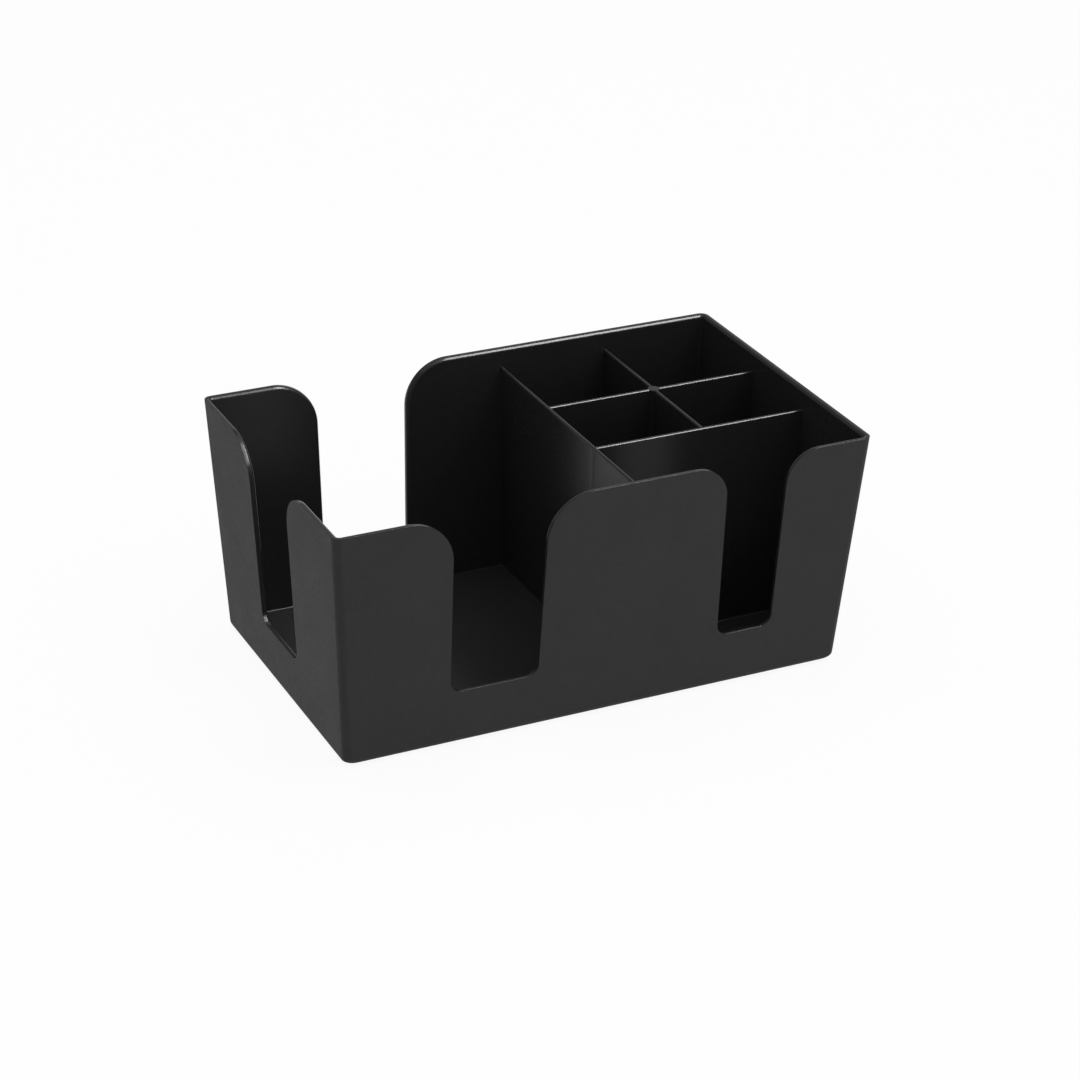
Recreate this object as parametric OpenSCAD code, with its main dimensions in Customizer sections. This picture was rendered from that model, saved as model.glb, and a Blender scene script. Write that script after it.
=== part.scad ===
// Bar caddy: a tapered, open-topped tub for cocktail napkins, coasters, straws and stirrers.
// The real tub is one moulding. It is drawn here as its floor, its four walls and its dividers,
// which meet face to face, and it stands on four rubber feet set into its underside.
// Millimetres, +Z up, +X to the straw end, -Y to the front, origin under the middle of the feet.

/* [Tub] */
// Length of the tub at its rim
tub_l = 240; // [210:1:280]
// Depth of the tub at its rim, front to back
tub_w = 145.6; // [130:0.1:170]
// Height of the tub, without its feet
tub_h = 106.4; // [90:0.1:130]
// Lean of every wall, measured outwards from the base to the rim
flare = 6.7; // [3:0.1:9]
// Thickness of the four walls
wall_t = 2.6; // [2:0.1:3]
// Thickness of the floor
floor_t = 3.6; // [2.4:0.1:4]
// Outer radius of the four upright corners
corner_r = 3.6; // [3.4:0.1:6]
// Inner radius of the four upright corners
inner_corner_r = 1.2; // [1.2:0.1:4]
// Radius round the outer edge of the base
base_r = 3.2; // [1:0.1:3.3]
// Radius of the base's four corners in plan, on its lowest edge
base_corner_r = 6; // [3:0.1:9]
// Fillet between the floor and the walls, inside
floor_fillet_r = 0.8; // [0.6:0.1:1.1]
// Width of the flat strip of floor that belongs to the walls, inside the fillets
floor_ledge = 1.4; // [1.2:0.1:3]

/* [Finger slots] */
// Width of the three napkin slots at their sills
napkin_slot_w = 39; // [30:0.5:46]
// Width of the coaster slot at its sill
coaster_slot_w = 25.6; // [18:0.2:32]
// Extra width of each slot at the rim, on either side
slot_flare = 1.3; // [0:0.1:3]
// Height of the sills above the underside of the tub
sill_h = 25; // [16:0.5:40]
// Radius of the shoulders of the napkin slots in the long walls, at the rim
napkin_shoulder_r = 20; // [8:0.5:24]
// Radius of the shoulders of the napkin slot in the end wall, at the rim
end_shoulder_r = 18; // [8:0.5:24]
// Radius of the coaster slot's shoulders, at the rim
coaster_shoulder_r = 15; // [6:0.5:18]
// Radius in the lower corners of every slot
sill_corner_r = 5; // [1:0.5:8]
// Middle of the napkin slots in the long walls, left of the tub's middle
napkin_slot_offset = 48.5; // [44:0.5:56]
// Middle of the coaster slot, right of the tub's middle
coaster_slot_offset = 66.5; // [60:0.5:72]

/* [Dividers] */
// Distance from the rim down to the tops of the dividers
divider_drop = 8.4; // [0:0.1:20]
// Thickness of the dividers at their top edges
divider_t = 1.8; // [1.2:0.1:2.2]
// Thickness of the dividers at the floor
divider_root_t = 2.2; // [2.2:0.1:3]
// Middle of the napkin divider, right of the tub's middle
napkin_divider_offset = 17.9; // [8:0.1:26]
// Middle of the centre divider, right of the tub's middle
centre_divider_offset = 68.6; // [60:0.1:76]
// Middle of the rear cross divider, behind the tub's middle
rear_cross_offset = 23.5; // [16:0.1:30]
// Middle of the front cross divider, in front of the tub's middle
front_cross_offset = 20.7; // [14:0.1:30]
// Diameter of the post where the dividers cross
post_d = 5.2; // [3.8:0.1:8]

/* [Feet] */
// Diameter of the rubber feet
foot_d = 12; // [8:0.5:16]
// Thickness of the rubber feet
foot_t = 2; // [1.6:0.1:2.4]
// Part of each foot's thickness that stands out of the underside
foot_proud = 1; // [0.8:0.1:1.4]
// Radius round the lower edge of the feet
foot_edge_r = 0.6; // [0.2:0.1:0.7]
// Gap all round each foot in its recess
foot_gap = 0.2; // [0.1:0.05:0.4]
// Distance from the edge of the base in to the middle of each foot
foot_inset = 17; // [14:0.5:24]

/* [Moulding gate] */
// Diameter of the dished recess round the gate, in the underside
gate_recess_d = 10; // [6:0.5:16]
// Depth of the recess round the gate
gate_recess_depth = 0.6; // [0.4:0.1:0.8]
// Diameter of the nub that the gate leaves
gate_nub_d = 2.4; // [1.6:0.1:4]
// Height of the nub that the gate leaves
gate_nub_h = 0.3; // [0.2:0.05:0.35]

/* [Hidden] */

// Overrun that every cut shares
cut = 1;
// Distance by which the slots' arcs run out past the lines they meet, so that they cross them cleanly
run_out = 0.05;
// Straight pieces that stand for a quarter turn in the lofted tub
turn_steps = 6;
// Curves of the drilled and turned shapes
$fn = 64;

plastic = "#26272a";
rubber = "#131313";

floor_inset = wall_t + floor_fillet_r + floor_ledge;
divider_top = tub_h - divider_drop;
foot_x = tub_l / 2 - flare - foot_inset;
foot_y = tub_w / 2 - flare - foot_inset;
recess_depth = foot_t - foot_proud;

// Half of a length of the tub at a height, less an inset
function half_size(size, height, inset) = size / 2 - flare * (1 - height / tub_h) - inset;

// A quarter turn about a middle, anticlockwise from an angle
function quarter(middle, r, from) =
    [for (i = [0:turn_steps]) let (a = from + 90 * i / turn_steps) middle + r * [cos(a), sin(a)]];

// Outline of the tub at a height, inset from its outer face, with corners of radius r
function outline(height, inset, r) =
    let (x = half_size(tub_l, height, inset) - r, y = half_size(tub_w, height, inset) - r)
    concat(quarter([x, y], r, 0), quarter([-x, y], r, 90),
        quarter([-x, -y], r, 180), quarter([x, -y], r, 270));

// Levels of a fillet between a flat bottom and a wall: [height, distance in from the wall]
function fillet_levels(r) =
    [for (i = [0:turn_steps]) let (a = 90 * i / turn_steps) [r * (1 - cos(a)), r * (1 - sin(a))]];

// Half the width of a slot at a height above its sill
function slot_half(w, rise) = w / 2 + slot_flare * rise / (tub_h - sill_h);

// A solid through outlines of equal length, each given as [height, points]
module loft(levels) {
    n = len(levels[0][1]);
    top = len(levels) - 1;
    points = [for (level = levels) for (p = level[1]) [p.x, p.y, level[0]]];
    sides = [for (k = [0:top - 1]) for (i = [0:n - 1]) let (j = (i + 1) % n)
        [k * n + i, (k + 1) * n + i, (k + 1) * n + j, k * n + j]];
    bottom_face = [for (i = [0:n - 1]) i];
    top_face = [for (i = [n - 1:-1:0]) top * n + i];
    polyhedron(points, concat([bottom_face], sides, [top_face]));
}

// The outside of the tub, solid. Its corners widen in plan round the base's edge.
module tub_block() {
    loft(concat(
        [for (f = fillet_levels(base_r))
            [f[0], outline(f[0], f[1], corner_r + (base_corner_r - corner_r) * f[1] / base_r)]],
        [[tub_h, outline(tub_h, 0, corner_r)]]));
}

// The space inside the tub, carried on past the rim
module tub_space() {
    loft(concat(
        [for (f = fillet_levels(floor_fillet_r))
            [floor_t + f[0], outline(floor_t + f[0], wall_t + f[1], inner_corner_r - f[1])]],
        [[tub_h + cut, outline(tub_h + cut, wall_t, inner_corner_r)]]));
}

// The floor panel's outline, inside the strip that belongs to the walls
module floor_outline() {
    polygon(outline(floor_t, floor_inset, base_corner_r));
}

// Plan of the share of the tub that belongs to the front wall, out to its mitred corners
module long_wall_share() {
    reach = tub_w / 2 + cut;
    middle = (tub_l - tub_w) / 2;
    polygon([[-middle, 0], [-middle - reach, -reach], [middle + reach, -reach], [middle, 0]]);
}

// Plan of the share of the tub that belongs to the straw end
module end_wall_share() {
    reach = tub_w / 2 + cut;
    middle = (tub_l - tub_w) / 2;
    polygon([[middle, 0], [middle + reach, -reach], [middle + reach, reach]]);
}

// The tub's walls, inside the plan given as a child
module wall_ring() {
    difference() {
        intersection() {
            tub_block();
            translate([0, 0, -cut]) linear_extrude(tub_h + 2 * cut) children();
        }
        tub_space();
        translate([0, 0, -cut]) linear_extrude(floor_t + 2 * cut) floor_outline();
    }
}

// Right half of a finger slot: leaning side, rounded sill corner and shoulder. x is out, y is up.
module half_slot(w, shoulder_r) {
    depth = tub_h - sill_h;
    lean = atan2(slot_flare, depth);
    corner_y = sill_corner_r - run_out;
    corner = [slot_half(w, corner_y) - corner_y / cos(lean), corner_y];
    shoulder_y = depth + run_out - shoulder_r;
    shoulder = [slot_half(w, shoulder_y) + (shoulder_r - run_out) / cos(lean), shoulder_y];
    reach = sill_corner_r + cut;
    difference() {
        polygon([[0, 0], [slot_half(w, 0), 0], [slot_half(w, shoulder_y), shoulder_y], shoulder,
            [shoulder.x, depth + cut], [0, depth + cut]]);
        translate(shoulder) circle(shoulder_r);
        difference() {
            polygon([corner, [corner.x, -cut], [corner.x + reach, -cut],
                corner + reach * [cos(lean), -sin(lean)]]);
            translate(corner) circle(sill_corner_r);
        }
    }
}

// Cutter for a slot in the front wall, at x
module front_slot(x, w, shoulder_r) {
    translate([x, -tub_w / 2 + flare + wall_t + cut, sill_h])
        rotate([90, 0, 0])
            linear_extrude(flare + wall_t + 2 * cut) {
                half_slot(w, shoulder_r);
                mirror([1, 0]) half_slot(w, shoulder_r);
            }
}

// Cutter for the slot in the napkin end
module end_slot() {
    translate([-tub_l / 2 - cut, 0, sill_h])
        rotate([90, 0, 90])
            linear_extrude(flare + wall_t + 2 * cut) {
                half_slot(napkin_slot_w, end_shoulder_r);
                mirror([1, 0]) half_slot(napkin_slot_w, end_shoulder_r);
            }
}

// Cross-section of a divider, carried past both ends by an overrun at the same slope
module divider_section(over) {
    narrowing = (divider_root_t - divider_t) / 2 / (divider_top - floor_t);
    root_half = divider_root_t / 2 + narrowing * over;
    top_half = divider_t / 2 - narrowing * over;
    polygon([[-root_half, floor_t - over], [root_half, floor_t - over],
        [top_half, divider_top + over], [-top_half, divider_top + over]]);
}

// A divider from front to back, at x, between two depths
module upright_along_y(x, from, to, over = 0) {
    translate([x, to, 0]) rotate([90, 0, 0]) linear_extrude(to - from) divider_section(over);
}

// A divider from left to right, at y, between two lengths
module upright_along_x(y, from, to, over = 0) {
    translate([from, y, 0]) rotate([90, 0, 90]) linear_extrude(to - from) divider_section(over);
}

// The post, carried past both ends by an overrun
module post_block(over = 0) {
    translate([centre_divider_offset, rear_cross_offset, floor_t - over])
        cylinder(h = divider_top - floor_t + 2 * over, d = post_d);
}

// What a cross divider may not enter: the napkin divider, with room above and below it
module napkin_divider_limit() {
    upright_along_y(napkin_divider_offset, -tub_w / 2, tub_w / 2, cut);
}

module floor_panel() {
    color(plastic)
        translate([0, 0, foot_proud])
            difference() {
                linear_extrude(floor_t) floor_outline();
                for (x = [-foot_x, foot_x]) for (y = [-foot_y, foot_y])
                    translate([x, y, -cut]) cylinder(h = recess_depth + cut, d = foot_d + 2 * foot_gap);
                translate([0, 0, -cut]) difference() {
                    cylinder(h = gate_recess_depth + cut, d = gate_recess_d);
                    translate([0, 0, gate_recess_depth - gate_nub_h])
                        cylinder(h = gate_nub_h + 2 * cut, d = gate_nub_d);
                }
            }
}

module front_wall() {
    color(plastic)
        translate([0, 0, foot_proud])
            difference() {
                wall_ring() long_wall_share();
                front_slot(-napkin_slot_offset, napkin_slot_w, napkin_shoulder_r);
                front_slot(coaster_slot_offset, coaster_slot_w, coaster_shoulder_r);
            }
}

module back_wall() {
    color(plastic)
        translate([0, 0, foot_proud])
            difference() {
                wall_ring() mirror([0, 1]) long_wall_share();
                mirror([0, 1, 0]) front_slot(-napkin_slot_offset, napkin_slot_w, napkin_shoulder_r);
            }
}

module napkin_end_wall() {
    color(plastic)
        translate([0, 0, foot_proud])
            difference() {
                wall_ring() mirror([1, 0]) end_wall_share();
                end_slot();
            }
}

module straw_end_wall() {
    color(plastic) translate([0, 0, foot_proud]) wall_ring() end_wall_share();
}

module napkin_divider() {
    color(plastic)
        translate([0, 0, foot_proud])
            intersection() {
                upright_along_y(napkin_divider_offset, -tub_w / 2, tub_w / 2);
                tub_space();
            }
}

module front_cross_divider() {
    color(plastic)
        translate([0, 0, foot_proud])
            difference() {
                intersection() {
                    upright_along_x(-front_cross_offset, napkin_divider_offset, tub_l / 2);
                    tub_space();
                }
                napkin_divider_limit();
            }
}

module rear_cross_divider_left() {
    color(plastic)
        translate([0, 0, foot_proud])
            difference() {
                upright_along_x(rear_cross_offset, napkin_divider_offset, centre_divider_offset);
                napkin_divider_limit();
                post_block(cut);
            }
}

module rear_cross_divider_right() {
    color(plastic)
        translate([0, 0, foot_proud])
            difference() {
                intersection() {
                    upright_along_x(rear_cross_offset, centre_divider_offset, tub_l / 2);
                    tub_space();
                }
                post_block(cut);
            }
}

module centre_divider_front() {
    color(plastic)
        translate([0, 0, foot_proud])
            difference() {
                upright_along_y(centre_divider_offset, -front_cross_offset, rear_cross_offset);
                upright_along_x(-front_cross_offset, napkin_divider_offset, tub_l / 2, cut);
                post_block(cut);
            }
}

module centre_divider_rear() {
    color(plastic)
        translate([0, 0, foot_proud])
            difference() {
                intersection() {
                    upright_along_y(centre_divider_offset, rear_cross_offset, tub_w / 2);
                    tub_space();
                }
                post_block(cut);
            }
}

module divider_post() {
    color(plastic) translate([0, 0, foot_proud]) post_block();
}

// A rubber foot with a rounded lower edge, to the left (-1) or right (1), at the front (-1) or back (1)
module foot(side, end) {
    r = foot_d / 2;
    color(rubber)
        translate([side * foot_x, end * foot_y, 0])
            rotate_extrude() {
                translate([0, foot_edge_r]) square([r, foot_t - foot_edge_r]);
                square([r - foot_edge_r, foot_edge_r]);
                translate([r - foot_edge_r, foot_edge_r]) intersection() {
                    circle(foot_edge_r);
                    translate([0, -foot_edge_r]) square(foot_edge_r);
                }
            }
}

floor_panel();
front_wall();
back_wall();
napkin_end_wall();
straw_end_wall();
napkin_divider();
front_cross_divider();
rear_cross_divider_left();
rear_cross_divider_right();
centre_divider_front();
centre_divider_rear();
divider_post();
foot(-1, -1);  // foot_front_left
foot(1, -1);  // foot_front_right
foot(-1, 1);  // foot_back_left
foot(1, 1);  // foot_back_right
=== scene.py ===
import math

import bpy
from mathutils import Matrix, Vector
from mathutils.geometry import tessellate_polygon


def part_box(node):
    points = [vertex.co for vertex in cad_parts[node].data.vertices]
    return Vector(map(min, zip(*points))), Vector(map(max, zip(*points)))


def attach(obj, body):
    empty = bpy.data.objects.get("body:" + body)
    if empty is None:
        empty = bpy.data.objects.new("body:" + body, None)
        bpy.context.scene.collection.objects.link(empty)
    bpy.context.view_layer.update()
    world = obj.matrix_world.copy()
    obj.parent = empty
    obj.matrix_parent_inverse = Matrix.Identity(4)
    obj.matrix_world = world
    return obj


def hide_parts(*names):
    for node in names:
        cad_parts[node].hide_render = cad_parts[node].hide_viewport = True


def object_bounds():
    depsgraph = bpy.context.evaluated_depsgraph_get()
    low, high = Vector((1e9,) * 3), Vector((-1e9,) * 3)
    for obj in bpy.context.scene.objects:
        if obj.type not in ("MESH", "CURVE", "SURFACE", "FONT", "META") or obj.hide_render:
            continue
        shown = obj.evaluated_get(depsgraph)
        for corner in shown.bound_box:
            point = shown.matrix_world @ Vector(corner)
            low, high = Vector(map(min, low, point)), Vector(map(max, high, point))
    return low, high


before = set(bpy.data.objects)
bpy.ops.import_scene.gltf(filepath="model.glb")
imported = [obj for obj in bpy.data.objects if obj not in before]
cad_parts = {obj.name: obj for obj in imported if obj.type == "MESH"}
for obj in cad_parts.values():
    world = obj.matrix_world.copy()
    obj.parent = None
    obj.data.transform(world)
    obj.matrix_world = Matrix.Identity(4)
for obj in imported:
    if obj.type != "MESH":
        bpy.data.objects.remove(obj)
cadLow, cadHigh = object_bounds()
print("bar caddy: frame loaded,", len(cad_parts), "nodes")

mm = 0.001                                  # lengths below are in millimetres, made metres on the way out


def inMm(point):
    return Vector(point) / mm


def middleOf(node):
    low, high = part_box(node)
    return inMm((low + high) / 2)


def heightsOf(node):
    low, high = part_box(node)
    return low.z / mm, high.z / mm


# Camera, at the photograph's viewpoint
photoView = {
    "turn": -26.206,                        # degrees round the caddy from straight in front
    "height": 26.615,                       # degrees above the bar top
    "roll": 1.334,                          # degrees
    "distance": 1.2933,                     # metres from the aim
    "aim": (0.0, 0.0, 0.0542),              # metres
    "lens": 101.693,                        # mm
    "sensor": 36.0,                         # mm wide
    "shift": (0.00743, -0.00807),
}


def setCamera(view):
    turn, height, roll = (math.radians(view[name]) for name in ("turn", "height", "roll"))
    back = Vector((math.sin(turn) * math.cos(height), -math.cos(turn) * math.cos(height), math.sin(height)))
    level = Vector((math.cos(turn), math.sin(turn), 0))
    upright = back.cross(level)
    right = level * math.cos(roll) + upright * math.sin(roll)
    up = upright * math.cos(roll) - level * math.sin(roll)
    place = Vector(view["aim"]) + back * view["distance"]
    camera = bpy.data.cameras.new("photoCamera")
    camera.lens = view["lens"]
    camera.sensor_width = view["sensor"]
    camera.shift_x, camera.shift_y = view["shift"]
    cameraObject = bpy.data.objects.new("photoCamera", camera)
    bpy.context.scene.collection.objects.link(cameraObject)
    cameraObject.matrix_world = Matrix((
        (right.x, up.x, back.x, place.x),
        (right.y, up.y, back.y, place.y),
        (right.z, up.z, back.z, place.z),
        (0, 0, 0, 1),
    ))
    bpy.context.scene.camera = cameraObject


setCamera(photoView)
print("camera set")


# Small helpers for the node trees
mixLow, mixHigh, mixColour = 6, 7, 2        # a Mix node's two colours coming in and the one going out


def newMaterial(name):
    material = bpy.data.materials.new(name)
    material.use_nodes = True
    tree = material.node_tree
    tree.nodes.clear()
    output = tree.nodes.new("ShaderNodeOutputMaterial")
    return material, tree, output


def addNode(tree, kind, **values):
    node = tree.nodes.new("ShaderNode" + kind)
    for name, value in values.items():
        if name in node.inputs:
            node.inputs[name].default_value = value
        else:
            setattr(node, name, value)
    return node


def noise(tree, where, grain, detail=2.0, roughness=0.5):
    # grain is the size of one blotch, in millimetres
    node = addNode(tree, "TexNoise", Scale=1 / (grain * mm), Detail=detail, Roughness=roughness)
    tree.links.new(where, node.inputs["Vector"])
    return node.outputs["Fac"]


def spread(tree, value, low, high, fromLow=0.3, fromHigh=0.7):
    # a noise lies mostly between 0.3 and 0.7, and this makes it run from low to high
    node = tree.nodes.new("ShaderNodeMapRange")
    for name, number in (("From Min", fromLow), ("From Max", fromHigh), ("To Min", low), ("To Max", high)):
        node.inputs[name].default_value = number
    tree.links.new(value, node.inputs["Value"])
    return node.outputs["Result"]


def bump(tree, height, distance, strength=1.0, onTop=None):
    # distance is the height of the bumps, in millimetres
    node = addNode(tree, "Bump", Distance=distance * mm, Strength=strength)
    tree.links.new(height, node.inputs["Height"])
    if onTop is not None:
        tree.links.new(onTop, node.inputs["Normal"])
    return node.outputs["Normal"]


# Black plastic, spark-eroded on the outside of the tub
texturedBlack = {
    "colour": (0.0207, 0.0208, 0.0215),
    "colourDrift": 0.12,                    # share by which the colour wanders
    "roughness": (0.56, 0.66),
    "roughnessDrift": 0.03,                 # more or less than that, from place to place
    "specular": 0.18,
    "grain": 0.42,                          # mm, the spark-eroded grain
    "grainBump": (0.030, 0.8),              # mm high, and the strength
    "mottle": 1.89,                         # mm, small blotches
    "flow": 22.0,                           # mm, broad unevenness of the moulded face
    "flowBump": (0.05, 0.5),
}


def makeTexturedBlack(look):
    material, tree, output = newMaterial("texturedBlack")
    shader = addNode(tree, "BsdfPrincipled")
    shader.inputs["Specular IOR Level"].default_value = look["specular"]
    where = addNode(tree, "TexCoord").outputs["Object"]
    fine = noise(tree, where, look["grain"], detail=2, roughness=0.6)
    mottle = noise(tree, where, look["mottle"], detail=3, roughness=0.6)
    broad = noise(tree, where, look["flow"], detail=3, roughness=0.55)

    tint = addNode(tree, "Mix", data_type="RGBA", blend_type="MULTIPLY")
    tint.inputs["Factor"].default_value = 1
    tint.inputs[mixLow].default_value = (*look["colour"], 1)
    drift = addNode(tree, "Math", operation="ADD")
    wander = look["colourDrift"]
    tree.links.new(spread(tree, broad, 1 - wander, 1), drift.inputs[0])
    tree.links.new(spread(tree, mottle, -wander, wander), drift.inputs[1])
    tree.links.new(drift.outputs[0], tint.inputs[mixHigh])
    tree.links.new(tint.outputs[mixColour], shader.inputs["Base Color"])

    rough = addNode(tree, "Math", operation="ADD")
    wander = look["roughnessDrift"]
    tree.links.new(spread(tree, mottle, *look["roughness"]), rough.inputs[0])
    tree.links.new(spread(tree, broad, -wander, wander), rough.inputs[1])
    tree.links.new(rough.outputs[0], shader.inputs["Roughness"])

    face = bump(tree, broad, *look["flowBump"])
    face = bump(tree, fine, *look["grainBump"], onTop=face)
    tree.links.new(face, shader.inputs["Normal"])
    tree.links.new(shader.outputs["BSDF"], output.inputs["Surface"])
    return material


# The same plastic where the mould was polished: the inside, the dividers and every rim
satinBlack = {
    "colour": (0.0145, 0.0145, 0.0149),
    "roughness": (0.24, 0.26),
    "specular": 0.17,
    "waves": 12.0,                          # mm, the slight waviness of a polished core
    "waveBump": (0.012, 0.6),               # mm high, and the strength
    "scuffs": 2.4,                          # mm, fine rub marks
    "scuffBump": (0.0003, 0.5),
    "scuffTint": 1.15,                      # how much lighter they are
}


def makeSatinBlack(look):
    material, tree, output = newMaterial("satinBlack")
    shader = addNode(tree, "BsdfPrincipled")
    shader.inputs["Specular IOR Level"].default_value = look["specular"]
    where = addNode(tree, "TexCoord").outputs["Object"]
    waves = noise(tree, where, look["waves"])
    scuffs = noise(tree, where, look["scuffs"])

    tint = addNode(tree, "Mix", data_type="RGBA")
    tint.inputs[mixLow].default_value = (*look["colour"], 1)
    tint.inputs[mixHigh].default_value = (*(c * look["scuffTint"] for c in look["colour"]), 1)
    tree.links.new(spread(tree, scuffs, 0, 1, fromLow=0.45, fromHigh=0.8), tint.inputs["Factor"])
    tree.links.new(tint.outputs[mixColour], shader.inputs["Base Color"])

    tree.links.new(spread(tree, scuffs, *look["roughness"]), shader.inputs["Roughness"])
    face = bump(tree, waves, *look["waveBump"])
    face = bump(tree, scuffs, *look["scuffBump"], onTop=face)
    tree.links.new(face, shader.inputs["Normal"])
    tree.links.new(shader.outputs["BSDF"], output.inputs["Surface"])
    return material


# Matt rubber of the feet
footRubber = {
    "colour": (0.011, 0.011, 0.0115),
    "roughness": (0.72, 0.86),
    "specular": 0.3,
    "grain": 0.5,                           # mm
    "grainBump": (0.03, 0.6),               # mm high, and the strength
    "dust": 3.0,                            # mm, dusty blotches
    "dustTint": 2.2,                        # how much lighter they are
}


def makeFootRubber(look):
    material, tree, output = newMaterial("footRubber")
    shader = addNode(tree, "BsdfPrincipled")
    shader.inputs["Specular IOR Level"].default_value = look["specular"]
    where = addNode(tree, "TexCoord").outputs["Object"]
    grain = noise(tree, where, look["grain"], detail=3, roughness=0.6)
    dust = noise(tree, where, look["dust"], detail=4, roughness=0.65)
    tint = addNode(tree, "Mix", data_type="RGBA")
    tint.inputs[mixLow].default_value = (*look["colour"], 1)
    tint.inputs[mixHigh].default_value = (*(c * look["dustTint"] for c in look["colour"]), 1)
    tree.links.new(spread(tree, dust, 0, 1, fromLow=0.5, fromHigh=0.8), tint.inputs["Factor"])
    tree.links.new(tint.outputs[mixColour], shader.inputs["Base Color"])
    tree.links.new(spread(tree, grain, *look["roughness"]), shader.inputs["Roughness"])
    tree.links.new(bump(tree, grain, *look["grainBump"]), shader.inputs["Normal"])
    tree.links.new(shader.outputs["BSDF"], output.inputs["Surface"])
    return material


tubFinishes = {"textured": makeTexturedBlack(texturedBlack), "satin": makeSatinBlack(satinBlack)}
rubberFinish = makeFootRubber(footRubber)
print("materials ready")


def pieceName(node):
    first, *rest = node.split("_")
    return first + "".join(word.capitalize() for word in rest)


def standFor(made, node):
    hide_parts(node)
    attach(made, "root")


# A skin of points and faces. Each face knows its piece and its finish, and a joint face is where two
# pieces of the moulding meet inside the plastic. Shading runs on across the joints.
class Skin:
    def __init__(self):
        self.points = []
        self.faces = []

    def point(self, place):
        self.points.append(Vector(place))
        return len(self.points) - 1

    def face(self, corners, piece, finish, joint=False):
        self.faces.append((list(corners), piece, finish, joint))

    def band(self, lower, upper, piece, finish, joint=False, closed=False):
        # quads between two rows of points
        count = len(lower) if closed else len(lower) - 1
        for i in range(count):
            j = (i + 1) % len(lower)
            self.face([lower[i], lower[j], upper[j], upper[i]], piece, finish, joint)

    def areaOf(self, corners):
        total = Vector((0, 0, 0))
        start = self.points[corners[0]]
        for a, b in zip(corners[1:], corners[2:]):
            total += (self.points[a] - start).cross(self.points[b] - start)
        return total / 2

    def shading(self):
        # a wide face outweighs the narrow ones beside it, so that flat walls stay flat
        normals = [Vector((0, 0, 0)) for _ in self.points]
        for corners, _, _, joint in self.faces:
            if not joint:
                area = self.areaOf(corners)
                for i in corners:
                    normals[i] += area * area.length
        return [n.normalized() for n in normals]

    def build(self, finishes):
        # one closed object for each piece of the skin, in the place of its CAD node
        normals = self.shading()
        names = list(finishes)
        for node in sorted({face[1] for face in self.faces}):
            piece = pieceName(node)
            own = [face for face in self.faces if face[1] == node]
            used = sorted({i for corners, _, _, _ in own for i in corners})
            index = {old: new for new, old in enumerate(used)}
            mesh = bpy.data.meshes.new(piece)
            mesh.from_pydata([self.points[i] * mm for i in used], [],
                             [[index[i] for i in corners] for corners, _, _, _ in own])
            for name in names:
                mesh.materials.append(finishes[name])
            cornerNormals = []
            for polygon, (corners, _, finish, joint) in zip(mesh.polygons, own):
                polygon.use_smooth = True
                polygon.material_index = names.index(finish)
                flat = self.areaOf(corners).normalized()
                cornerNormals += [flat if joint else normals[i] for i in corners]
            mesh.normals_split_custom_set(cornerNormals)
            made = bpy.data.objects.new(piece, mesh)
            bpy.context.scene.collection.objects.link(made)
            standFor(made, node)


# The tub. Its length, depth and heights come from the frame, the rest are the drawing's own sizes.
lift, floorTop = heightsOf("floor_panel")
tub = {
    "length": (cadHigh.x - cadLow.x) / mm,
    "depth": (cadHigh.y - cadLow.y) / mm,
    "height": cadHigh.z / mm - lift,
    "floor": floorTop - lift,
    "flare": 6.7,                           # lean of every wall, base to rim
    "wall": 2.6,
    "cornerRadius": 3.6,
    "innerRadius": 1.2,                     # of the upright corners, inside
    "baseRadius": 3.2,
    "baseCorner": 6.0,                      # the corners widen in plan to this on the lowest edge
    "filletRadius": 0.4,                    # floor to wall, inside
    "floorLedge": 1.8,                      # flat strip of floor that belongs to the walls
    "outerRound": 0.10,                     # every rim is crisp on the outside
    "innerRound": 1.4,                      # and well rounded on the inside
    "outerSteps": 3,
    "innerSteps": 6,
    "cornerSteps": 12,                      # an even number, so that one column lies on the mitre
    "baseSteps": 6,                         # of the base's round, and of the floor's fillet
}

# Finger slots. The place is measured along the wall, to the right as seen from outside.
fingerSlots = {
    "sill": 25.0,
    "flare": 1.3,                           # extra width at the rim, either side
    "sillRadius": 5.0,
    "sillSteps": 8,
    "shoulderStep": 3.0,                    # degrees
    "front": [
        {"place": -48.5, "width": 39.0, "shoulders": (20.0, 20.0)},
        {"place": 66.5, "width": 25.6, "shoulders": (15.0, 15.0)},
    ],
    "right": [],
    "back": [{"place": 48.5, "width": 39.0, "shoulders": (20.0, 20.0)}],
    "left": [{"place": 0.0, "width": 39.0, "shoulders": (18.0, 18.0)}],
}

# Anticlockwise from above: the side, its piece, the way along it and the way out of it
wallSides = [
    ("front", "front_wall", Vector((1, 0, 0)), Vector((0, -1, 0))),
    ("right", "straw_end_wall", Vector((0, 1, 0)), Vector((1, 0, 0))),
    ("back", "back_wall", Vector((-1, 0, 0)), Vector((0, 1, 0))),
    ("left", "napkin_end_wall", Vector((0, -1, 0)), Vector((-1, 0, 0))),
]


def halfSize(alongX, h):
    size = tub["length"] if alongX else tub["depth"]
    return size / 2 - tub["flare"] * (1 - h / tub["height"])


def wallPoint(along, out, s, h, inset):
    return along * s + out * (halfSize(out.x != 0, h) - inset) + Vector((0, 0, h + lift))


def cornerPoint(along, out, angle, h, inset, radius, z=None):
    # on the corner that follows a wall, at an angle from that wall's outward direction
    reach = halfSize(along.x != 0, h) - inset - radius
    outward = halfSize(out.x != 0, h) - inset - radius
    place = along * (reach + radius * math.sin(angle)) + out * (outward + radius * math.cos(angle))
    return place + Vector((0, 0, (h if z is None else z) + lift))


def arc(first, last, steps):
    return [math.radians(first + (last - first) * i / steps) for i in range(steps + 1)]


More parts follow.
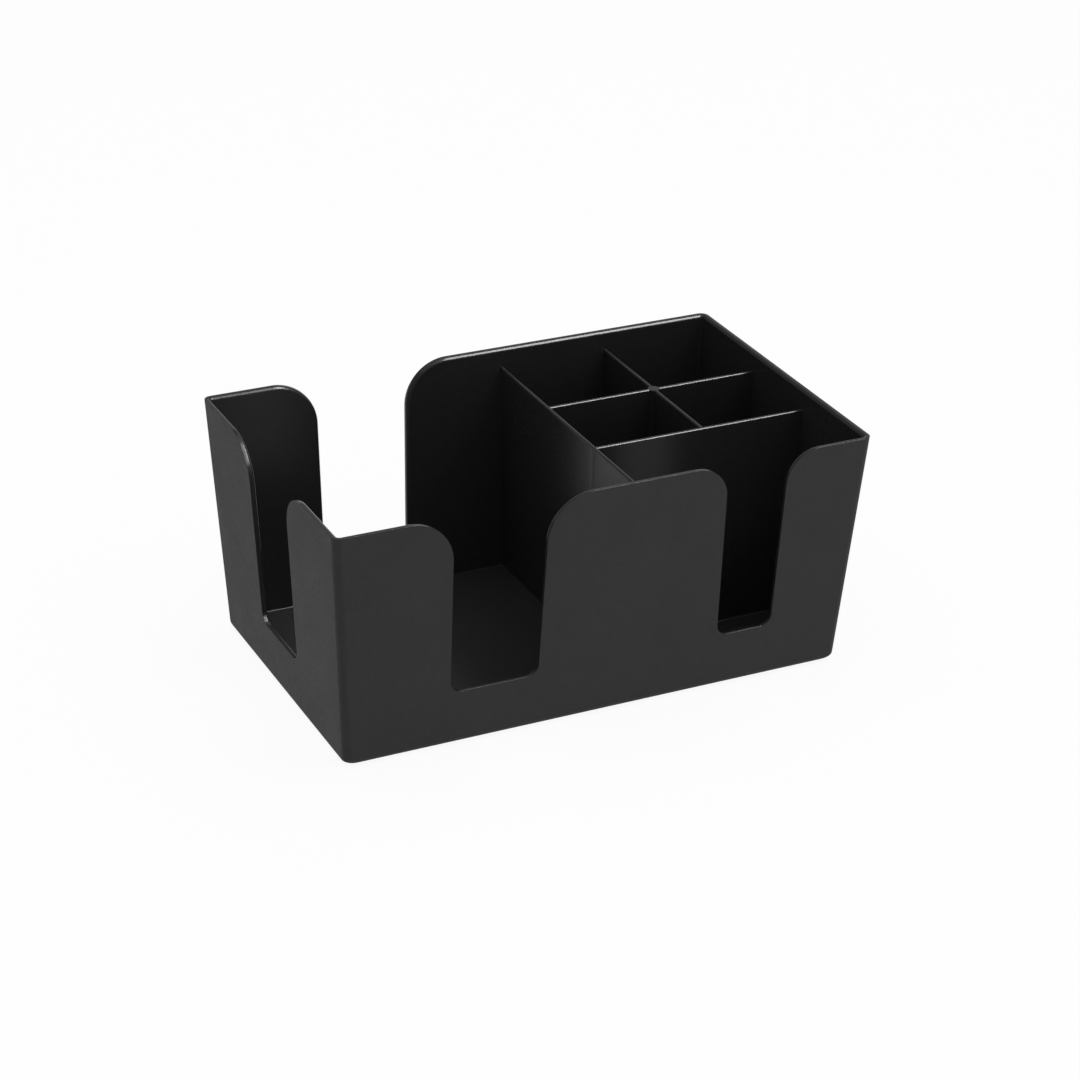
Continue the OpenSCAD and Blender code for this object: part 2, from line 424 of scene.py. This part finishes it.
def rimProfile():
    # from the outer face over the rim to the inner face: (depth below the edge, inset)
    crisp, full, wall = tub["outerRound"], tub["innerRound"], tub["wall"]
    outer = [(crisp * (1 - math.sin(a)), crisp * (1 - math.cos(a)))
             for a in arc(0, 90, tub["outerSteps"])]
    inner = [(full * (1 - math.sin(a)), wall - full * (1 - math.cos(a)))
             for a in arc(90, 0, tub["innerSteps"])]
    return outer + inner


def quarterLevels(radius, firstDegree, lastDegree):
    # (height, inset) down or up a quarter round between a level face and a wall
    return [(radius * (1 - math.cos(a)), radius * (1 - math.sin(a)))
            for a in arc(firstDegree, lastDegree, tub["baseSteps"])]


def halfSlot(slot, shoulder):
    # the right half of a slot's edge, sill to rim: (s, h, direction into the plastic), about its middle
    sill, flare, small = fingerSlots["sill"], fingerSlots["flare"], fingerSlots["sillRadius"]
    depth = tub["height"] - sill
    lean = math.atan2(flare, depth)
    degrees = math.degrees(lean)

    def sideAt(rise):
        return slot["width"] / 2 + flare * rise / depth

    points = []
    middle = sideAt(small) - small / math.cos(lean)
    for a in arc(-90, -degrees, fingerSlots["sillSteps"]):
        points.append((middle + small * math.cos(a), sill + small * (1 + math.sin(a)),
                       math.cos(a), math.sin(a)))
    rise = depth - shoulder
    middle = sideAt(rise) + shoulder / math.cos(lean)
    steps = round(90 / fingerSlots["shoulderStep"])
    for a in arc(180 - degrees, 90, steps):
        points.append((middle + shoulder * math.cos(a), sill + rise + shoulder * math.sin(a),
                       -math.cos(a), -math.sin(a)))
    return points


def rimPath(side):
    # a wall's edge between its corners, with its slots
    path = []
    for slot in fingerSlots[side]:
        left, right = slot["shoulders"]
        path += [(slot["place"] - s, h, -ns, nh) for s, h, ns, nh in reversed(halfSlot(slot, left))]
        path += [(slot["place"] + s, h, ns, nh) for s, h, ns, nh in halfSlot(slot, right)]
    return path


def cornerColumns(skin, along, out, profile):
    # the upright columns of a corner, each a list of its points from the underside round to the floor
    columns = []
    outerR, innerR, wall = tub["cornerRadius"], tub["innerRadius"], tub["wall"]
    fillet = tub["filletRadius"]
    panelInset = wall + fillet + tub["floorLedge"]
    widening = (tub["baseCorner"] - outerR) / tub["baseRadius"]
    for angle in arc(0, 90, tub["cornerSteps"]):
        column = [skin.point(cornerPoint(along, out, angle, tub["floor"], panelInset, tub["baseCorner"], 0))]
        for h, inset in quarterLevels(tub["baseRadius"], 0, 90):
            column.append(skin.point(cornerPoint(along, out, angle, h, inset, outerR + widening * inset)))
        for u, v in profile:
            h = tub["height"] - u
            outer = cornerPoint(along, out, angle, h, 0, outerR)
            inner = cornerPoint(along, out, angle, h, wall, innerR)
            column.append(skin.point(outer.lerp(inner, v / wall)))
        for h, inset in quarterLevels(fillet, 90, 0):
            column.append(skin.point(cornerPoint(along, out, angle, tub["floor"] + h, wall + inset,
                                                 innerR - inset)))
        column.append(skin.point(cornerPoint(along, out, angle, tub["floor"], panelInset,
                                             tub["baseCorner"])))
        columns.append(column)
    return columns


def makeTubWalls(skin):
    profile = rimProfile()
    firstRim = tub["baseSteps"] + 2         # after the underside's point and the base's round
    lastRim = firstRim + len(profile) - 1
    corners = [cornerColumns(skin, along, out, profile) for _, _, along, out in wallSides]
    half = tub["cornerSteps"] // 2

    for k, (side, piece, along, out) in enumerate(wallSides):
        before, after = corners[k - 1], corners[k]
        rim = []
        for s, h, ns, nh in rimPath(side):
            rim.append([skin.point(wallPoint(along, out, s + ns * u, h + nh * u, v)) for u, v in profile])
        start, end = before[-1], after[0]
        # the flat faces, outside and inside, then the rim between them
        outerRow = [start[firstRim]] + [column[0] for column in rim] + [end[firstRim]]
        innerRow = [start[lastRim]] + [column[-1] for column in rim] + [end[lastRim]]
        skin.face([start[firstRim - 1], end[firstRim - 1]] + outerRow[::-1], piece, "textured")
        skin.face(innerRow + [end[lastRim + 1], start[lastRim + 1]], piece, "satin")
        rimColumns = [start[firstRim:lastRim + 1]] + rim + [end[firstRim:lastRim + 1]]
        for row in range(len(profile) - 1):
            skin.band([c[row] for c in rimColumns], [c[row + 1] for c in rimColumns], piece, "satin")
        # what runs straight along the foot of the wall, and its halves of the two corners
        columns = before[half:] + after[:half + 1]
        rows = len(start)
        join = len(before) - half - 1       # the place of the straight stretch in these columns
        for row in range(rows):
            up = (row + 1) % rows
            joint = up == 0
            finish = "textured" if row < firstRim else "satin"
            straight = row < firstRim - 1 or row > lastRim
            for i in range(len(columns) - 1):
                if i == join and not straight:
                    continue
                a, b = columns[i], columns[i + 1]
                skin.face([a[row], b[row], b[up], a[up]], piece, finish, joint)
        skin.face(columns[0], piece, "satin", True)
        skin.face(columns[-1][::-1], piece, "satin", True)
    return corners


# Recesses in the underside: one for each foot, and the dish round the moulding gate
underside = {
    "footRecess": 6.2,                      # radius
    "recessDepth": 1.0,
    "edgeRound": 0.25,
    "roundSteps": 3,
    "gateDish": 5.0,                        # radius
    "dishCurve": [(0, 0), (0.35, 0.22), (0.9, 0.44), (1.8, 0.57)],      # (in from the dish's edge, depth)
    "gateNub": 1.2,                         # radius
    "nubCurve": [(0.25, 0.6), (0, 0.56), (-0.08, 0.36), (-0.25, 0.3)],  # (out from the nub's side, depth)
    "segments": 48,
}

footNodes = ["foot_front_left", "foot_front_right", "foot_back_left", "foot_back_right"]


def ringAt(skin, middle, radius, z, segments):
    ring = []
    for i in range(segments):
        a = 2 * math.pi * i / segments
        ring.append(skin.point((middle.x + radius * math.cos(a), middle.y + radius * math.sin(a), z)))
    return ring


def makeFloorPanel(skin, corners):
    piece = "floor_panel"
    topRow = [column[-1] for corner in corners for column in corner]
    lowRow = [column[0] for corner in corners for column in corner]
    skin.face(topRow, piece, "satin")
    skin.band(lowRow, topRow, piece, "textured", joint=True, closed=True)
    r, deep = underside["edgeRound"], underside["recessDepth"]
    rounded = [(r * (1 - math.sin(a)), r * (1 - math.cos(a))) for a in arc(0, 90, underside["roundSteps"])]
    footR = underside["footRecess"]
    recess = [(footR + u, v) for u, v in rounded] + [(footR - u, deep - v) for u, v in reversed(rounded)]
    gate = [(underside["gateDish"] - inward, depth) for inward, depth in underside["dishCurve"]]
    gate += [(underside["gateNub"] + outward, depth) for outward, depth in underside["nubCurve"]]
    holes = [(middleOf(foot), recess) for foot in footNodes] + [(Vector((0, 0, 0)), gate)]
    rims = []
    for middle, profile in holes:
        rings = [ringAt(skin, middle, radius, lift + depth, underside["segments"])
                 for radius, depth in profile]
        for outer, inner in zip(rings, rings[1:]):
            skin.band(inner, outer, piece, "textured", closed=True)
        skin.face(rings[-1][::-1], piece, "textured")
        rims.append(rings[0])
    loops = [lowRow[::-1]] + rims
    flat = [i for loop in loops for i in loop]
    for triangle in tessellate_polygon([[skin.points[i] for i in loop] for loop in loops]):
        three = [flat[i] for i in triangle]
        if skin.areaOf(three).z > 0:        # the underside faces down
            three.reverse()
        skin.face(three, piece, "textured")


tubSkin = Skin()
tubCorners = makeTubWalls(tubSkin)
makeFloorPanel(tubSkin, tubCorners)
tubSkin.build(tubFinishes)
print("tub moulded:", len(tubSkin.faces), "faces")


# Dividers: tapered blades with rounded top edges, and the post where they cross. Where a cross divider
# joins the back of the napkin divider, the thicker plastic has sunk in a little on the bay's side.
blade = {
    "rootThickness": 2.2,
    "topThickness": 1.8,
    "edgeRound": 0.7,
    "topSteps": 6,
    "rootFillet": 0.8,
    "rootSteps": 4,
    "sinkDepth": 0.040,
    "sinkWidth": 6.0,
    "sinkSteps": 4,                         # either side of a sink mark's middle
    "bite": 0.3,                            # how far a blade runs into the walls and the floor
    "crossBite": 0.7,                       # and into another blade, nearly up to its crest
}

post = {
    "radius": 2.6,
    "edgeRound": 0.3,
    "topSteps": 4,
    "rootFillet": 0.8,
    "rootSteps": 4,
    "segments": 40,
}

dividerTop = heightsOf("napkin_divider")[1] - lift
napkinX = middleOf("napkin_divider").x
crossY = middleOf("front_cross_divider").y
postMiddle = middleOf("divider_post")


def bladeHalf(h):
    share = (h - tub["floor"]) / (dividerTop - tub["floor"])
    return (blade["rootThickness"] + (blade["topThickness"] - blade["rootThickness"]) * share) / 2


def bladeOutline():
    # (offset, height) round the cross-section, anticlockwise from its lower right
    floor, fillet, r = tub["floor"], blade["rootFillet"], blade["edgeRound"]
    foot = bladeHalf(floor + fillet) + fillet
    right = [(foot, floor - blade["bite"])]
    right += [(foot + fillet * math.cos(a), floor + fillet * (1 + math.sin(a)))
              for a in arc(-90, -180, blade["rootSteps"])]
    shoulder = bladeHalf(dividerTop) - r
    right += [(shoulder + r * math.cos(a), dividerTop - r + r * math.sin(a))
              for a in arc(0, 90, blade["topSteps"])]
    return right + [(-t, h) for t, h in reversed(right)]


def endWallFace(h):
    return halfSize(True, h) - tub["wall"] + blade["bite"]


def longWallFace(h):
    return halfSize(False, h) - tub["wall"] + blade["bite"]


def sunk(t, h, share):
    # moves a point of the cross-section's one flank in by its share of a sink mark
    if t <= 0 or h < tub["floor"] + blade["rootFillet"]:
        return t
    return t * (1 - share * blade["sinkDepth"] / bladeHalf(h))


def makeBlade(node, alongX, place, startAt, endAt, sinks=()):
    # startAt and endAt give the blade's ends at a height, sinks the middles of its sink marks
    skin = Skin()
    stations = [(startAt, 0)]
    half = blade["sinkSteps"]
    for middle in sinks:
        for step in range(-half, half + 1):
            at = middle + step / half * blade["sinkWidth"] / 2
            stations.append((lambda h, at=at: at, (1 + math.cos(math.pi * step / half)) / 2))
    stations.append((endAt, 0))
    rows = []
    for reach, share in stations:
        row = []
        for t, h in bladeOutline():
            t = sunk(t, h, share)
            x, y = (reach(h), place + t) if alongX else (place - t, reach(h))
            row.append(skin.point((x, y, h + lift)))
        rows.append(row)
    for lower, upper in zip(rows, rows[1:]):
        skin.band(lower, upper, node, "satin", closed=True)
    skin.face(rows[0][::-1], node, "satin", joint=True)
    skin.face(rows[-1], node, "satin", joint=True)
    skin.build(tubFinishes)


def lathe(skin, middle, profile, node, finish, segments):
    # profile is (radius, z), up the outside, closed with a disc at either end
    rings = [ringAt(skin, middle, radius, z, segments) for radius, z in profile]
    for lower, upper in zip(rings, rings[1:]):
        skin.band(lower, upper, node, finish, closed=True)
    skin.face(rings[0][::-1], node, finish)
    skin.face(rings[-1], node, finish)


def makePost():
    skin = Skin()
    r, fillet, edge = post["radius"], post["rootFillet"], post["edgeRound"]
    floor = tub["floor"] + lift
    top = dividerTop + lift
    profile = [(r + fillet, floor - blade["bite"])]
    profile += [(r + fillet + fillet * math.cos(a), floor + fillet * (1 + math.sin(a)))
                for a in arc(-90, -180, post["rootSteps"])]
    profile += [(r - edge + edge * math.cos(a), top - edge + edge * math.sin(a))
                for a in arc(0, 90, post["topSteps"])]
    lathe(skin, postMiddle, profile, "divider_post", "satin", post["segments"])
    skin.build(tubFinishes)


postFlat = post["radius"] - post["edgeRound"]       # blades run in as far as the flat of the post's top

makeBlade("napkin_divider", False, napkinX, lambda h: -longWallFace(h), longWallFace,
          sinks=(crossY, postMiddle.y))
makeBlade("front_cross_divider", True, crossY,
          lambda h: napkinX + bladeHalf(h) - blade["crossBite"], endWallFace)
makeBlade("rear_cross_divider_left", True, postMiddle.y,
          lambda h: napkinX + bladeHalf(h) - blade["crossBite"], lambda h: postMiddle.x - postFlat)
makeBlade("rear_cross_divider_right", True, postMiddle.y, lambda h: postMiddle.x + postFlat, endWallFace)
makeBlade("centre_divider_front", False, postMiddle.x,
          lambda h: crossY + bladeHalf(h) - blade["crossBite"], lambda h: postMiddle.y - postFlat)
makeBlade("centre_divider_rear", False, postMiddle.x, lambda h: postMiddle.y + postFlat, longWallFace)
makePost()
print("dividers and post in")


# Rubber feet, turned shapes with a shallow suction dish underneath
feet = {
    "radius": 6.0,
    "thickness": 2.0,
    "edgeRound": 0.6,                       # below
    "edgeSteps": 5,
    "topEdge": 0.15,                        # the small bevel above, inside the recess
    "dishRadius": 4.2,
    "dishCurve": [(-0.5, 0.3), (-0.2, 0.24), (0, 0.08), (0.2, 0)],      # (out from that radius, depth)
    "segments": 48,
}


def makeFoot(node):
    skin = Skin()
    r, edge, bevel, thick = feet["radius"], feet["edgeRound"], feet["topEdge"], feet["thickness"]
    profile = [(feet["dishRadius"] + outward, depth) for outward, depth in feet["dishCurve"]]
    profile += [(r - edge + edge * math.cos(a), edge + edge * math.sin(a))
                for a in arc(-90, 0, feet["edgeSteps"])]
    profile += [(r, thick - bevel), (r - bevel, thick)]
    lathe(skin, middleOf(node), profile, node, "rubber", feet["segments"])
    skin.build({"rubber": rubberFinish})


for foot in footNodes:
    makeFoot(foot)
print("feet in")


# White floor and low white backdrop, a dimmer room above them, a wide softbox overhead, and on the right
# a strip lamp that runs from overhead down towards the front and only draws highlights
studio = {
    "floorSize": 12.0,                      # metres
    "floorColour": (0.86, 0.86, 0.86),
    "floorWhite": 0.93,                     # share of the floor that shows as plain white
    "backdrop": 1.0,                        # brightness
    "backdropTop": (12.0, 25.0),            # degrees above the horizon, where it starts and ends to dim
    "room": 0.55,                           # brightness
    "leftShare": 0.55,                      # how bright the left side is, beside the right
    "sideEdge": 30.0,                       # degrees to either side, where that change starts and ends
    "overhead": {"toward": (0.0, -0.12, 1.0), "distance": 2.2, "size": (3.2, 3.2), "power": 46.0},
    "strip": {"toward": (0.455, -0.43, 0.78), "distance": 2.2, "size": (0.50, 2.1), "power": 170.0},
}


def seenDirectly(tree):
    # 1 for what the camera sees, straight, in a reflection or through something clear
    path = addNode(tree, "LightPath")
    straight = addNode(tree, "Math", operation="MAXIMUM")
    anyWay = addNode(tree, "Math", operation="MAXIMUM")
    tree.links.new(path.outputs["Is Camera Ray"], straight.inputs[0])
    tree.links.new(path.outputs["Is Glossy Ray"], straight.inputs[1])
    tree.links.new(straight.outputs[0], anyWay.inputs[0])
    tree.links.new(path.outputs["Is Transmission Ray"], anyWay.inputs[1])
    return anyWay.outputs[0]


def makeFloor(look):
    half = look["floorSize"] / 2
    mesh = bpy.data.meshes.new("whiteFloor")
    mesh.from_pydata([(-half, -half, 0), (half, -half, 0), (half, half, 0), (-half, half, 0)], [],
                     [(0, 1, 2, 3)])
    floor = bpy.data.objects.new("whiteFloor", mesh)
    bpy.context.scene.collection.objects.link(floor)
    material, tree, output = newMaterial("whiteFloor")
    paper = addNode(tree, "BsdfDiffuse")
    paper.inputs["Color"].default_value = (*look["floorColour"], 1)
    white = addNode(tree, "Emission")
    mix = addNode(tree, "MixShader")
    share = addNode(tree, "Math", operation="MULTIPLY")
    share.inputs[1].default_value = look["floorWhite"]
    tree.links.new(seenDirectly(tree), share.inputs[0])
    tree.links.new(share.outputs[0], mix.inputs[0])
    tree.links.new(paper.outputs[0], mix.inputs[1])
    tree.links.new(white.outputs[0], mix.inputs[2])
    tree.links.new(mix.outputs[0], output.inputs["Surface"])
    mesh.materials.append(material)


def makeWorld(look):
    world = bpy.data.worlds.new("whiteStudio")
    world.use_nodes = True
    bpy.context.scene.world = world
    tree = world.node_tree
    background = tree.nodes["Background"]
    background.inputs["Color"].default_value = (1, 1, 1, 1)
    way = addNode(tree, "SeparateXYZ")
    tree.links.new(addNode(tree, "TexCoord").outputs["Generated"], way.inputs[0])
    low, high = (math.sin(math.radians(angle)) for angle in look["backdropTop"])
    upward = spread(tree, way.outputs["Z"], look["backdrop"], look["room"], low, high)
    edge = math.sin(math.radians(look["sideEdge"]))
    sideways = spread(tree, way.outputs["X"], look["leftShare"], 1, -edge, edge)
    both = addNode(tree, "Math", operation="MULTIPLY")
    tree.links.new(upward, both.inputs[0])
    tree.links.new(sideways, both.inputs[1])
    tree.links.new(both.outputs[0], background.inputs["Strength"])


def makeLamp(name, look, lightsFaces=True):
    lamp = bpy.data.lights.new(name, "AREA")
    lamp.shape = "RECTANGLE"
    lamp.size, lamp.size_y = look["size"]
    lamp.energy = look["power"]
    lampObject = bpy.data.objects.new(name, lamp)
    bpy.context.scene.collection.objects.link(lampObject)
    away = Vector(look["toward"]).normalized()
    place = Vector(photoView["aim"]) + away * look["distance"]
    along = (Vector((1, 0, 0)) - away * away.x).normalized()
    across = away.cross(along)
    lampObject.matrix_world = Matrix((
        (along.x, across.x, away.x, place.x),
        (along.y, across.y, away.y, place.y),
        (along.z, across.z, away.z, place.z),
        (0, 0, 0, 1),
    ))
    lampObject.visible_camera = False
    lampObject.visible_diffuse = lightsFaces


makeFloor(studio)
makeWorld(studio)
makeLamp("overheadSoftbox", studio["overhead"])
makeLamp("highlightStrip", studio["strip"], lightsFaces=False)
bpy.context.scene.view_settings.view_transform = "Standard"
print("studio lit")
